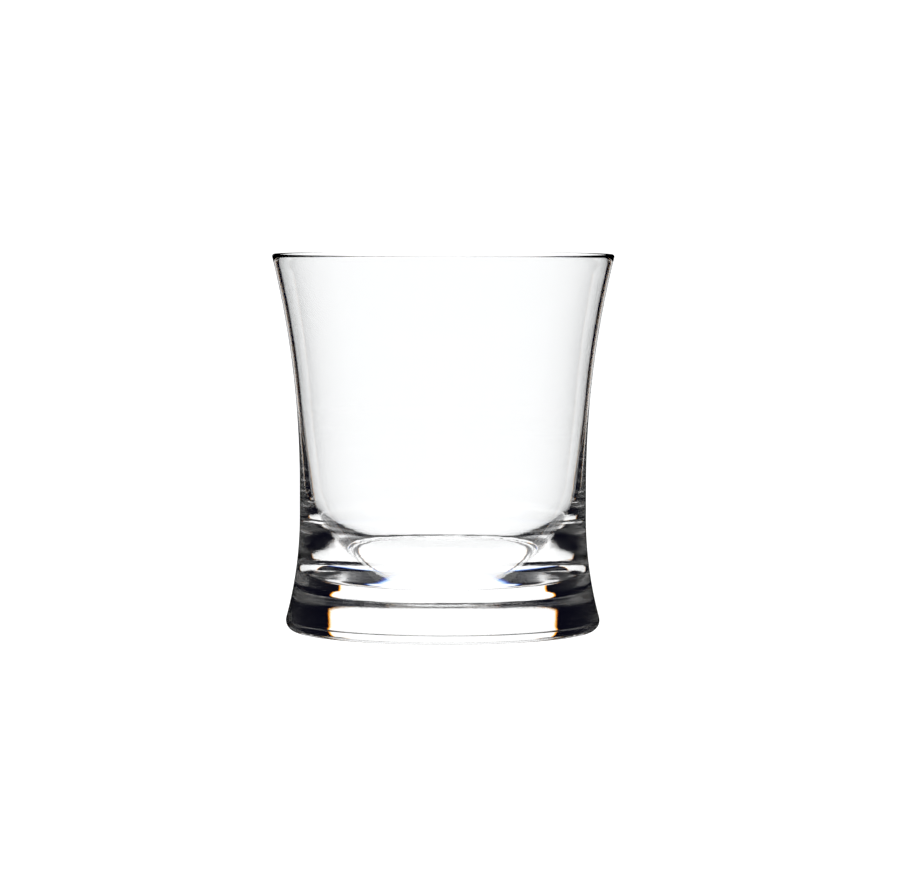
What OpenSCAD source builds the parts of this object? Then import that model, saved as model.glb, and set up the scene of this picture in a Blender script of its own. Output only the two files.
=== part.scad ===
/* [Overall] */
// Height from the resting face to the top of the rim
glass_h = 99.3; // [85:0.1:125]
// Outside diameter of the mouth at the rim
rim_d = 90; // [82:0.5:110]

/* [Outside shape] */
// Diameter of the straight waist, the narrowest part of the outside
waist_d = 75.5; // [66:0.5:80]
// Height at which the flared foot meets the waist
waist_low_z = 30.3; // [24:0.1:36]
// Height at which the waist meets the flared bowl
waist_high_z = 38.9; // [36.5:0.1:50]
// Widest diameter of the foot
foot_d = 82.8; // [80.5:0.1:100]
// Radius of the rounded bottom edge of the foot
foot_edge_r = 2.8; // [1:0.1:5]

/* [Inside shape] */
// Thickness of the glass at the drinking rim
wall_t = 1.3; // [1:0.1:2.5]
// Slope of the straight part of the inside wall, in degrees from upright
inside_taper = 5; // [4:0.1:8]
// Slope that the inside wall has curved in to where it meets the floor, in degrees from upright
toe_slope = 32.5; // [25:0.5:60]
// Diameter of the flat part of the inside floor
floor_d = 47.5; // [30:0.5:52]
// Radius of the small round between the inside wall and the floor
corner_r = 4; // [1:0.1:8]
// Thickness of the solid base under the floor
base_t = 12.1; // [8:0.1:22]

/* [Hidden] */
steps_per_arc = 24;
rim_r = wall_t / 2;
waist_r = waist_d / 2;

// Radius of an arc that leaves the waist upright and runs into a round of radius end_r,
// whose centre lies run to the inside of the waist and rise above or below the arc's start
function flare_radius(run, rise, end_r) = (run ^ 2 + rise ^ 2 - end_r ^ 2) / (2 * (end_r - run));

// Flare of the bowl, from the waist up to the round of the rim
rim_c = [rim_d / 2 - rim_r, glass_h - rim_r];
flare_rise = rim_c.y - waist_high_z;
flare_r = flare_radius(waist_r - rim_c.x, flare_rise, rim_r);
flare_c = [waist_r + flare_r, waist_high_z];
flare_a = asin(flare_rise / (flare_r + rim_r));

// Flare of the foot, from the waist down to the rounded bottom edge
edge_c = [foot_d / 2 - foot_edge_r, foot_edge_r];
foot_drop = waist_low_z - edge_c.y;
foot_flare_r = flare_radius(waist_r - edge_c.x, foot_drop, foot_edge_r);
foot_flare_c = [waist_r + foot_flare_r, waist_low_z];
foot_flare_a = asin(foot_drop / (foot_flare_r + foot_edge_r));

// Inside wall: an arc that keeps the wall's thickness, then a straight cone that leaves it
// along its own slope, then an arc that curves in to the toe, the corner and the flat floor
inner_flare_r = flare_r + wall_t;
cone_out = [cos(inside_taper), -sin(inside_taper)];
cone_top = flare_c - inner_flare_r * cone_out;
toe_out = [cos(toe_slope), -sin(toe_slope)];
corner_c = [floor_d / 2, base_t + corner_r];
toe_turn = cone_out * toe_out;
side_r = (cone_out * (cone_top - corner_c) - corner_r * toe_turn) / (1 - toe_turn);
side_c = corner_c - (side_r - corner_r) * toe_out;

// Points along an arc about a centre, from angle a to angle b, both ends included
function arc(c, r, a, b, n = steps_per_arc) = [
    for (i = [0 : n]) let (t = a + (b - a) * i / n) c + r * [cos(t), sin(t)]
];

// The outline of half the section, from the axis out under the foot, up the outside,
// over the rim and down the inside to the axis
function outline() = concat(
    [[0, 0]],
    arc(edge_c, foot_edge_r, -90, foot_flare_a),
    arc(foot_flare_c, foot_flare_r, 180 + foot_flare_a, 180),
    arc(flare_c, flare_r, 180, 180 - flare_a),
    arc(rim_c, rim_r, -flare_a, 180 - flare_a),
    arc(flare_c, inner_flare_r, 180 - flare_a, 180 - inside_taper),
    arc(side_c, side_r, -inside_taper, -toe_slope),
    arc(corner_c, corner_r, -toe_slope, -90),
    [[0, base_t]]
);

module glass_body() {
    color("lightcyan", 0.4)
        rotate_extrude($fn = 144)
            polygon(outline());
}

glass_body();
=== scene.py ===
import math

import bpy
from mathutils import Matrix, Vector


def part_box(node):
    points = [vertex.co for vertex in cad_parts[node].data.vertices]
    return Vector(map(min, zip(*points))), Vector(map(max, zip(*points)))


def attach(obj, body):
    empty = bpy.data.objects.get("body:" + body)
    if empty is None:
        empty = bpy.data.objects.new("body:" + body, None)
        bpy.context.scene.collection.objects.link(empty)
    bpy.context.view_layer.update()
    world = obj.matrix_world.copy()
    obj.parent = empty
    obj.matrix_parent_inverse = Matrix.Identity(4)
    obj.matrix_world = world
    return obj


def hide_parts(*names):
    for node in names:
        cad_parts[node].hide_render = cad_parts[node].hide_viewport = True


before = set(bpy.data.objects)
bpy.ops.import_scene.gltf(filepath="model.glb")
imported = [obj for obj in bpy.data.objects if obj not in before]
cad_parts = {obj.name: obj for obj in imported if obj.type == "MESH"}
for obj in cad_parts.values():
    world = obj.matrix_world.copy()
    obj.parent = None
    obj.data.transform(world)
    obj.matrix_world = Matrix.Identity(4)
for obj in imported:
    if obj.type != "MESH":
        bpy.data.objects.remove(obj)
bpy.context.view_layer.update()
scene = bpy.context.scene
mm = 0.001
print("frame loaded")

viewSetup = {
    "place": (0.0, -1.186, 0.117),  # metres
    "aim": (0.0029, 0.0, 0.0508),
    "roll": 0.1,  # degrees
    "lens": 178.65,  # mm, long enough to keep the sides nearly upright
    "sensor": 36.0,
    "nearest": 0.01,  # metres
    "farthest": 60.0,
    "bounces": 40,  # light crosses the glass many times
}


def placeCamera(setup):
    cameraData = bpy.data.cameras.new("benchCamera")
    cameraData.lens = setup["lens"]
    cameraData.sensor_width = setup["sensor"]
    cameraData.clip_start = setup["nearest"]
    cameraData.clip_end = setup["farthest"]
    camera = bpy.data.objects.new("benchCamera", cameraData)
    scene.collection.objects.link(camera)
    camera.location = setup["place"]
    aim = (Vector(setup["aim"]) - camera.location).to_track_quat("-Z", "Y")
    camera.rotation_euler = aim.to_euler()
    camera.rotation_euler.rotate_axis("Z", math.radians(setup["roll"]))
    scene.camera = camera


placeCamera(viewSetup)
scene.view_settings.view_transform = "Standard"
scene.cycles.max_bounces = viewSetup["bounces"]
scene.cycles.transmission_bounces = viewSetup["bounces"]
scene.cycles.glossy_bounces = viewSetup["bounces"]
print("camera placed")


def addNode(tree, kind, **settings):
    node = tree.nodes.new(kind)
    for name, value in settings.items():
        setattr(node, name, value)
    return node


def feed(tree, socket, value):
    # a value is either another node's output or a constant
    if isinstance(value, bpy.types.NodeSocket):
        tree.links.new(value, socket)
    elif value is not None:
        socket.default_value = value


def mathNode(tree, operation, first, second=None):
    node = addNode(tree, "ShaderNodeMath", operation=operation)
    feed(tree, node.inputs[0], first)
    feed(tree, node.inputs[1], second)
    return node.outputs[0]


# the clear glass, with faint streaks drawn round it

glassFinish = {
    "tint": (0.985, 0.99, 0.992, 1.0),
    "ior": 1.5,
    "streakScale": (45.0, 45.0, 1100.0),  # per metre, so the streaks lie round the glass
    "streakDetail": 3.0,
    "streakDepth": 0.000008,  # metres, like the other lengths here
    "streakTop": 0.056,
    "streakFade": 0.014,
    "speckleScale": 2600.0,
    "speckleDetail": 2.0,
    "speckleDepth": 0.000012,
    "speckleTop": 0.0004,
}


def addBump(tree, height, depth, normal=None):
    bump = addNode(tree, "ShaderNodeBump")
    feed(tree, bump.inputs["Height"], height)
    feed(tree, bump.inputs["Strength"], 1.0)
    feed(tree, bump.inputs["Distance"], depth)
    feed(tree, bump.inputs["Normal"], normal)
    return bump.outputs[0]


def clearGlass(finish):
    material = bpy.data.materials.new("clearGlass")
    material.use_nodes = True
    tree = material.node_tree
    shader = tree.nodes["Principled BSDF"]
    shader.inputs["Base Color"].default_value = finish["tint"]
    shader.inputs["IOR"].default_value = finish["ior"]
    shader.inputs["Roughness"].default_value = 0.0
    shader.inputs["Transmission Weight"].default_value = 1.0

    place = addNode(tree, "ShaderNodeTexCoord").outputs["Object"]
    split = addNode(tree, "ShaderNodeSeparateXYZ")
    feed(tree, split.inputs[0], place)
    height = split.outputs["Z"]
    stretched = addNode(tree, "ShaderNodeMapping")
    feed(tree, stretched.inputs["Vector"], place)
    feed(tree, stretched.inputs["Scale"], finish["streakScale"])
    streaks = addNode(tree, "ShaderNodeTexNoise")
    feed(tree, streaks.inputs["Vector"], stretched.outputs[0])
    feed(tree, streaks.inputs["Scale"], 1.0)
    feed(tree, streaks.inputs["Detail"], finish["streakDetail"])
    # the streaks fade out above the thick base, where the wall is smooth
    below = mathNode(tree, "SUBTRACT", finish["streakTop"], height)
    fade = addNode(tree, "ShaderNodeClamp")
    feed(tree, fade.inputs["Value"], mathNode(tree, "DIVIDE", below, finish["streakFade"]))
    drawn = mathNode(tree, "MULTIPLY", streaks.outputs["Fac"], fade.outputs[0])

    # the underside has a fine grain
    grain = addNode(tree, "ShaderNodeTexNoise")
    feed(tree, grain.inputs["Vector"], place)
    feed(tree, grain.inputs["Scale"], finish["speckleScale"])
    feed(tree, grain.inputs["Detail"], finish["speckleDetail"])
    onBase = mathNode(tree, "LESS_THAN", height, finish["speckleTop"])
    grainy = mathNode(tree, "MULTIPLY", grain.outputs["Fac"], onBase)

    streaked = addBump(tree, drawn, finish["streakDepth"])
    feed(tree, shader.inputs["Normal"], addBump(tree, grainy, finish["speckleDepth"], streaked))
    return material


# the glass body, an outline turned about the axis

tumbler = {
    "waistDiameter": 75.5,  # mm, like all the sizes here
    "waistLow": 30.3,
    "waistHigh": 38.9,
    "footDiameter": 82.8,
    "footEdge": 2.8,
    "wall": 1.3,
    "insideTaper": 5.0,  # degrees
    "toeSlope": 32.5,  # degrees
    "floorDiameter": 47.5,
    "cornerRadius": 4.0,
    "baseThickness": 12.1,
    "turnSteps": 400,
    "steps": {
        "foot edge": 24,
        "foot flare": 32,
        "bowl flare": 44,
        "rim": 16,
        "bowl inside": 24,
        "toe": 34,
        "corner": 22,
        "underside": 10,
        "waist": 6,
        "cone": 10,
        "floor": 8,
    },
    "rippleDepth": 0.004,
    "rippleScale": 90.0,  # per metre
    "rippleDetail": 1.0,
    "axisGap": 1.0,  # the turning circle's radius, taken off the outline again
    "mergeDistance": 0.0005,
}


def flareRadius(run, rise, endRadius):
    # an arc that leaves the waist upright and runs into the round at the end of the flare
    return (run**2 + rise**2 - endRadius**2) / (2 * (endRadius - run))


def outlineArcs(size, height, rimDiameter):
    # each arc: centre across, centre height, radius, first angle, last angle
    rimRound = size["wall"] / 2
    waist = size["waistDiameter"] / 2
    rimX, rimZ = rimDiameter / 2 - rimRound, height - rimRound
    rise = rimZ - size["waistHigh"]
    bowlRadius = flareRadius(waist - rimX, rise, rimRound)
    bowlX = waist + bowlRadius
    bowlTurn = math.degrees(math.asin(rise / (bowlRadius + rimRound)))
    edge = size["footEdge"]
    edgeX = size["footDiameter"] / 2 - edge
    drop = size["waistLow"] - edge
    footRadius = flareRadius(waist - edgeX, drop, edge)
    footTurn = math.degrees(math.asin(drop / (footRadius + edge)))
    innerRadius = bowlRadius + size["wall"]
    slope, toeSlope = size["insideTaper"], size["toeSlope"]
    taper, toe = math.radians(slope), math.radians(toeSlope)
    coneX = bowlX - innerRadius * math.cos(taper)
    coneZ = size["waistHigh"] + innerRadius * math.sin(taper)
    cornerX, corner = size["floorDiameter"] / 2, size["cornerRadius"]
    cornerZ = size["baseThickness"] + corner
    turn = math.cos(toe - taper)
    across = math.cos(taper) * (coneX - cornerX) - math.sin(taper) * (coneZ - cornerZ)
    sideRadius = (across - corner * turn) / (1 - turn)
    sideX = cornerX - (sideRadius - corner) * math.cos(toe)
    sideZ = cornerZ + (sideRadius - corner) * math.sin(toe)
    return {
        "foot edge": (edgeX, edge, edge, -90, footTurn),
        "foot flare": (waist + footRadius, size["waistLow"], footRadius, 180 + footTurn, 180),
        "bowl flare": (bowlX, size["waistHigh"], bowlRadius, 180, 180 - bowlTurn),
        "rim": (rimX, rimZ, rimRound, -bowlTurn, 180 - bowlTurn),
        "bowl inside": (bowlX, size["waistHigh"], innerRadius, 180 - bowlTurn, 180 - slope),
        "toe": (sideX, sideZ, sideRadius, -slope, -toeSlope),
        "corner": (cornerX, cornerZ, corner, -toeSlope, -90),
    }


def arcEnd(arc, which):
    x, z, radius = arc[:3]
    angle = math.radians(arc[3 + which])
    return x + radius * math.cos(angle), z + radius * math.sin(angle)


def outlineLines(arcs, size):
    # straight stretches between the arcs: first point, last point
    return {
        "underside": ((0.0, 0.0), arcEnd(arcs["foot edge"], 0)),
        "waist": (arcEnd(arcs["foot flare"], 1), arcEnd(arcs["bowl flare"], 0)),
        "cone": (arcEnd(arcs["bowl inside"], 1), arcEnd(arcs["toe"], 0)),
        "floor": (arcEnd(arcs["corner"], 1), (0.0, size["baseThickness"])),
    }


def layOutSection(tree, sizes, arcs, lines):
    section = addNode(tree, "GeometryNodeJoinGeometry")
    for name in arcs:
        arc = addNode(tree, "GeometryNodeCurveArc", mode="RADIUS")
        feed(tree, arc.inputs["Resolution"], sizes[f"{name} steps"])
        feed(tree, arc.inputs["Radius"], sizes[f"{name} radius"])
        feed(tree, arc.inputs["Start Angle"], sizes[f"{name} start"])
        feed(tree, arc.inputs["Sweep Angle"], sizes[f"{name} sweep"])
        moved = addNode(tree, "GeometryNodeTransform")
        feed(tree, moved.inputs["Geometry"], arc.outputs["Curve"])
        feed(tree, moved.inputs["Translation"], sizes[f"{name} centre"])
        tree.links.new(moved.outputs[0], section.inputs[0])
    for name in lines:
        line = addNode(tree, "GeometryNodeCurvePrimitiveLine")
        feed(tree, line.inputs["Start"], sizes[f"{name} from"])
        feed(tree, line.inputs["End"], sizes[f"{name} to"])
        parts = addNode(tree, "GeometryNodeResampleCurve")
        feed(tree, parts.inputs["Curve"], line.outputs[0])
        feed(tree, parts.inputs["Count"], sizes[f"{name} steps"])
        tree.links.new(parts.outputs[0], section.inputs[0])
    return section.outputs[0]


def turnSection(tree, sizes, section):
    # the stretches become one line, shifted in by the gap that the turning circle needs
    edges = addNode(tree, "GeometryNodeCurveToMesh")
    feed(tree, edges.inputs["Curve"], section)
    joined = addNode(tree, "GeometryNodeMergeByDistance")
    feed(tree, joined.inputs["Geometry"], edges.outputs[0])
    feed(tree, joined.inputs["Distance"], sizes["Merge distance"])
    outline = addNode(tree, "GeometryNodeMeshToCurve")
    feed(tree, outline.inputs["Mesh"], joined.outputs[0])
    inward = addNode(tree, "ShaderNodeCombineXYZ")
    feed(tree, inward.inputs["X"], mathNode(tree, "MULTIPLY", sizes["Axis gap"], -1.0))
    shifted = addNode(tree, "GeometryNodeTransform")
    feed(tree, shifted.inputs["Geometry"], outline.outputs[0])
    feed(tree, shifted.inputs["Translation"], inward.outputs[0])
    feed(tree, shifted.inputs["Scale"], (1.0, -1.0, 1.0))
    circle = addNode(tree, "GeometryNodeCurvePrimitiveCircle", mode="RADIUS")
    feed(tree, circle.inputs["Resolution"], sizes["Turn steps"])
    feed(tree, circle.inputs["Radius"], sizes["Axis gap"])
    turned = addNode(tree, "GeometryNodeCurveToMesh")
    feed(tree, turned.inputs["Curve"], circle.outputs[0])
    feed(tree, turned.inputs["Profile Curve"], shifted.outputs[0])
    closed = addNode(tree, "GeometryNodeMergeByDistance")
    feed(tree, closed.inputs["Geometry"], turned.outputs[0])
    feed(tree, closed.inputs["Distance"], sizes["Merge distance"])
    return closed.outputs[0]


def pressRipples(tree, sizes, body):
    # faint ripples, pressed in from the surface
    waves = addNode(tree, "ShaderNodeTexNoise")
    feed(tree, waves.inputs["Scale"], sizes["Ripple scale"])
    feed(tree, waves.inputs["Detail"], sizes["Ripple detail"])
    depth = mathNode(tree, "MULTIPLY", waves.outputs["Fac"], sizes["Ripple depth"])
    pressed = addNode(tree, "ShaderNodeVectorMath", operation="SCALE")
    feed(tree, pressed.inputs[0], addNode(tree, "GeometryNodeInputNormal").outputs[0])
    feed(tree, pressed.inputs["Scale"], mathNode(tree, "MULTIPLY", depth, -1.0))
    rippled = addNode(tree, "GeometryNodeSetPosition")
    feed(tree, rippled.inputs["Geometry"], body)
    feed(tree, rippled.inputs["Offset"], pressed.outputs[0])
    return rippled.outputs[0]


def turnedTree(arcs, lines, size, material):
    # a tree that lays out half the section from arcs and lines, and turns it about the axis
    tree = bpy.data.node_groups.new("turnedGlass", "GeometryNodeTree")
    tree.interface.new_socket("Geometry", in_out="INPUT", socket_type="NodeSocketGeometry")
    tree.interface.new_socket("Geometry", in_out="OUTPUT", socket_type="NodeSocketGeometry")
    values = {}

    def addInput(name, kind, value):
        tree.interface.new_socket(name, in_out="INPUT", socket_type=kind)
        values[name] = value

    for name, (x, z, radius, first, last) in arcs.items():
        addInput(f"{name} centre", "NodeSocketVector", (x * mm, z * mm, 0.0))
        addInput(f"{name} radius", "NodeSocketFloat", radius * mm)
        addInput(f"{name} start", "NodeSocketFloat", math.radians(first))
        addInput(f"{name} sweep", "NodeSocketFloat", math.radians(last - first))
        addInput(f"{name} steps", "NodeSocketInt", size["steps"][name] + 1)
    for name, (first, last) in lines.items():
        addInput(f"{name} from", "NodeSocketVector", (first[0] * mm, first[1] * mm, 0.0))
        addInput(f"{name} to", "NodeSocketVector", (last[0] * mm, last[1] * mm, 0.0))
        addInput(f"{name} steps", "NodeSocketInt", size["steps"][name] + 1)
    addInput("Turn steps", "NodeSocketInt", size["turnSteps"])
    addInput("Ripple depth", "NodeSocketFloat", size["rippleDepth"] * mm)
    addInput("Ripple scale", "NodeSocketFloat", size["rippleScale"])
    addInput("Ripple detail", "NodeSocketFloat", size["rippleDetail"])
    addInput("Axis gap", "NodeSocketFloat", size["axisGap"] * mm)
    addInput("Merge distance", "NodeSocketFloat", size["mergeDistance"] * mm)
    addInput("Glass", "NodeSocketMaterial", material)

    sizes = addNode(tree, "NodeGroupInput").outputs
    body = turnSection(tree, sizes, layOutSection(tree, sizes, arcs, lines))
    smooth = addNode(tree, "GeometryNodeSetShadeSmooth")
    feed(tree, smooth.inputs["Geometry"], pressRipples(tree, sizes, body))
    real = addNode(tree, "GeometryNodeRealizeInstances")
    feed(tree, real.inputs["Geometry"], smooth.outputs[0])
    finish = addNode(tree, "GeometryNodeSetMaterial")
    feed(tree, finish.inputs["Geometry"], real.outputs[0])
    feed(tree, finish.inputs["Material"], sizes["Glass"])
    result = addNode(tree, "NodeGroupOutput")
    feed(tree, result.inputs[0], finish.outputs[0])
    return tree, values


def bakeTree(name, tree, values):
    # runs the tree on an empty mesh and keeps what it makes as a plain mesh
    host = bpy.data.objects.new(name + "Host", bpy.data.meshes.new(name + "Host"))
    scene.collection.objects.link(host)
    modifier = host.modifiers.new("turning", "NODES")
    modifier.node_group = tree
    for socket in tree.interface.items_tree:
        if socket.in_out == "INPUT" and socket.name in values:
            modifier[socket.identifier] = values[socket.name]
    seen = host.evaluated_get(bpy.context.evaluated_depsgraph_get())
    mesh = bpy.data.meshes.new_from_object(seen)
    bpy.data.objects.remove(host)
    piece = bpy.data.objects.new(name, mesh)
    mesh.name = name
    scene.collection.objects.link(piece)
    return piece


glassMaterial = clearGlass(glassFinish)
glassLow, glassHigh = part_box("glass_body")
arcs = outlineArcs(tumbler, glassHigh[2] / mm, (glassHigh[0] - glassLow[0]) / mm)
lines = outlineLines(arcs, tumbler)
tree, values = turnedTree(arcs, lines, tumbler, glassMaterial)
glassBody = bakeTree("tumblerGlass", tree, values)
print("glass turned:", len(glassBody.data.vertices), "points", len(glassBody.data.polygons), "faces")
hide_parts("glass_body")
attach(glassBody, "root")


# helpers for the floor and the light

def stepped(tree, value, stops):
    # a colour that runs through the stops as the value rises
    first, last = stops[0][0], stops[-1][0]
    spread = addNode(tree, "ShaderNodeMapRange")
    feed(tree, spread.inputs["Value"], value)
    feed(tree, spread.inputs["From Min"], first)
    feed(tree, spread.inputs["From Max"], last)
    ramp = addNode(tree, "ShaderNodeValToRGB")
    points = ramp.color_ramp.elements
    while len(points) < len(stops):
        points.new(0.5)  # each one is placed below
    for point, (at, colour) in zip(points, stops):
        point.position = (at - first) / (last - first)
        point.color = (*colour, 1.0)
    feed(tree, ramp.inputs[0], spread.outputs[0])
    return ramp.outputs["Color"]


def brighter(tree, first, second):
    both = addNode(tree, "ShaderNodeVectorMath", operation="MAXIMUM")
    feed(tree, both.inputs[0], first)
    feed(tree, both.inputs[1], second)
    return both.outputs[0]


def between(tree, value, low, high):
    # 1 between the two limits and 0 outside them
    above = mathNode(tree, "GREATER_THAN", value, low)
    return mathNode(tree, "MULTIPLY", above, mathNode(tree, "LESS_THAN", value, high))


def greyOf(tree, value):
    joined = addNode(tree, "ShaderNodeCombineXYZ")
    for socket in joined.inputs:
        feed(tree, socket, value)
    return joined.outputs[0]


def splitPlace(tree, coordinates):
    split = addNode(tree, "ShaderNodeSeparateXYZ")
    feed(tree, split.inputs[0], addNode(tree, "ShaderNodeTexCoord").outputs[coordinates])
    return split.outputs


def glowing(name, brightness):
    material = bpy.data.materials.new(name)
    material.use_nodes = True
    tree = material.node_tree
    tree.nodes.remove(tree.nodes["Principled BSDF"])
    glow = addNode(tree, "ShaderNodeEmission")
    feed(tree, glow.inputs["Strength"], brightness)
    feed(tree, tree.nodes["Material Output"].inputs["Surface"], glow.outputs[0])
    return material, tree, glow


def addPlate(name, corners, faces, material, hiddenFrom):
    mesh = bpy.data.meshes.new(name)
    mesh.from_pydata(corners, [], faces)
    plate = bpy.data.objects.new(name, mesh)
    mesh.materials.append(material)
    scene.collection.objects.link(plate)
    for rays in hiddenFrom:
        setattr(plate, "visible_" + rays, False)


floorSetup = {
    "radius": 8.0,  # metres
    "drop": 0.0001,
    "brightness": 1.2,
}


def makeFloor(setup):
    # white, and seen by the camera alone
    far, low = setup["radius"], -setup["drop"]
    material = glowing("floor", setup["brightness"])[0]
    corners = [(-far, -far, low), (far, -far, low), (far, far, low), (-far, far, low)]
    hiddenFrom = ("glossy", "transmission", "diffuse", "shadow")
    addPlate("floor", corners, [(0, 1, 2, 3)], material, hiddenFrom)


panelSetup = {
    "half": 0.101,  # metres
    "back": 0.2,
    "bottom": -1.2,
    "top": 0.96,
    "brightness": 1.2,
    "fringe": (  # distance in from the side edge, colour
        (0.0, (0.0, 0.0, 0.0)),
        (0.0012, (0.9, 0.18, 0.0)),
        (0.0032, (1.0, 0.62, 0.05)),
        (0.006, (1.0, 1.0, 1.0)),
    ),
}


def makePanel(setup):
    # a tall white panel behind the glass, seen only through it
    material, tree, glow = glowing("panel", setup["brightness"])
    sideways = mathNode(tree, "ABSOLUTE", splitPlace(tree, "Object")["X"])
    inset = mathNode(tree, "SUBTRACT", setup["half"], sideways)
    feed(tree, glow.inputs["Color"], stepped(tree, inset, setup["fringe"]))
    half, back = setup["half"], setup["back"]
    low, high = setup["bottom"], setup["top"]
    corners = [(-half, back, low), (half, back, low), (half, back, high), (-half, back, high)]
    hiddenFrom = ("camera", "glossy", "diffuse", "shadow")
    addPlate("panel", corners, [(0, 1, 2, 3)], material, hiddenFrom)


screenSetup = {
    "radius": 0.050,  # metres
    "low": 0.047,
    "fade": 0.010,
    "high": 0.300,
    "steps": 96,
    "brightness": 1.2,
    "reflections": 0.5,  # fewer than this, so none
}


def makeScreen(setup):
    # a white curtain round the bowl, above the base
    steps, radius = setup["steps"], setup["radius"]
    points, faces = [], []
    for step in range(steps):
        turn = 2 * math.pi * step / steps
        x, y = radius * math.sin(turn), radius * math.cos(turn)
        points += [(x, y, setup["low"]), (x, y, setup["high"])]
        following = (step + 1) % steps
        faces.append((2 * step, 2 * following, 2 * following + 1, 2 * step + 1))
    material, tree, glow = glowing("screen", setup["brightness"])
    rise = mathNode(tree, "SUBTRACT", splitPlace(tree, "Object")["Z"], setup["low"])
    solid = addNode(tree, "ShaderNodeClamp")
    feed(tree, solid.inputs["Value"], mathNode(tree, "DIVIDE", rise, setup["fade"]))
    # it lights only rays that passed straight through the walls, with no reflection inside
    path = addNode(tree, "ShaderNodeLightPath").outputs
    reflections = mathNode(tree, "SUBTRACT", path["Ray Depth"], path["Transmission Depth"])
    straight = mathNode(tree, "LESS_THAN", reflections, setup["reflections"])
    hem = addNode(tree, "ShaderNodeMixShader")
    feed(tree, hem.inputs[0], mathNode(tree, "MULTIPLY", solid.outputs[0], straight))
    feed(tree, hem.inputs[1], addNode(tree, "ShaderNodeBsdfTransparent").outputs[0])
    feed(tree, hem.inputs[2], glow.outputs[0])
    feed(tree, tree.nodes["Material Output"].inputs["Surface"], hem.outputs[0])
    addPlate("screen", points, faces, material, ("camera", "glossy", "diffuse", "shadow"))


surroundSetup = {
    "brightness": 1.2,
    "lowerLight": (  # degrees above the horizon, colour
        (-45.0, (1.0, 1.0, 1.0)),
        (-42.5, (0.35, 0.6, 1.0)),
        (-41.0, (0.02, 0.06, 0.4)),
        (-39.0, (0.0, 0.0, 0.0)),
    ),
    "dark": (0.0, 0.0, 0.004),
    "frontLight": 0.05,
    "frontStart": 92.0,  # degrees round from the panel
    "sideStart": 33.0,
    "sideEnd": 152.0,
    "sideLow": -44.0,  # degrees above the horizon
    "sideHigh": 2.0,
    "skyStart": 35.0,
    "surfaces": 3.5,  # more surfaces than this are crossed, so four: two walls
    "depth": 5.5,  # fewer steps than this in the ray's path, so none was a reflection
}


def makeSurround(setup):
    world = bpy.data.worlds.new("studio")
    world.use_nodes = True
    scene.world = world
    tree = world.node_tree
    path = addNode(tree, "ShaderNodeLightPath").outputs
    heading = splitPlace(tree, "Generated")
    lift = mathNode(tree, "DEGREES", mathNode(tree, "ARCSINE", heading["Z"]))
    around = mathNode(tree, "ARCTAN2", heading["X"], heading["Y"])
    around = mathNode(tree, "DEGREES", mathNode(tree, "ABSOLUTE", around))
    front = mathNode(tree, "GREATER_THAN", around, setup["frontStart"])
    front = mathNode(tree, "MULTIPLY", front, setup["frontLight"])

    # light from the sides that has crossed the bowl, in through one wall and out through the other
    crossed = mathNode(tree, "GREATER_THAN", path["Transmission Depth"], setup["surfaces"])
    direct = mathNode(tree, "LESS_THAN", path["Ray Depth"], setup["depth"])
    crossed = mathNode(tree, "MULTIPLY", crossed, direct)
    sideways = between(tree, around, setup["sideStart"], setup["sideEnd"])
    level = between(tree, lift, setup["sideLow"], setup["sideHigh"])
    crossed = mathNode(tree, "MULTIPLY", mathNode(tree, "MULTIPLY", crossed, sideways), level)

    plain = mathNode(tree, "MAXIMUM", path["Is Camera Ray"], crossed)
    plain = greyOf(tree, mathNode(tree, "MAXIMUM", plain, front))
    light = brighter(tree, stepped(tree, lift, setup["lowerLight"]), plain)
    light = brighter(tree, light, setup["dark"])

    # the outside of the glass mirrors white from high up and black from everywhere else
    high = mathNode(tree, "GREATER_THAN", lift, setup["skyStart"])
    high = mathNode(tree, "MULTIPLY", high, path["Is Reflection Ray"])
    light = brighter(tree, light, greyOf(tree, high))
    low = mathNode(tree, "LESS_THAN", lift, setup["skyStart"])
    low = mathNode(tree, "MULTIPLY", low, path["Is Reflection Ray"])
    outer = addNode(tree, "ShaderNodeVectorMath", operation="SCALE")
    feed(tree, outer.inputs[0], light)
    feed(tree, outer.inputs["Scale"], mathNode(tree, "SUBTRACT", 1.0, low))
    feed(tree, tree.nodes["Background"].inputs["Color"], outer.outputs[0])
    feed(tree, tree.nodes["Background"].inputs["Strength"], setup["brightness"])


makeFloor(floorSetup)
makePanel(panelSetup)
makeScreen(screenSetup)
makeSurround(surroundSetup)
print("light ready")
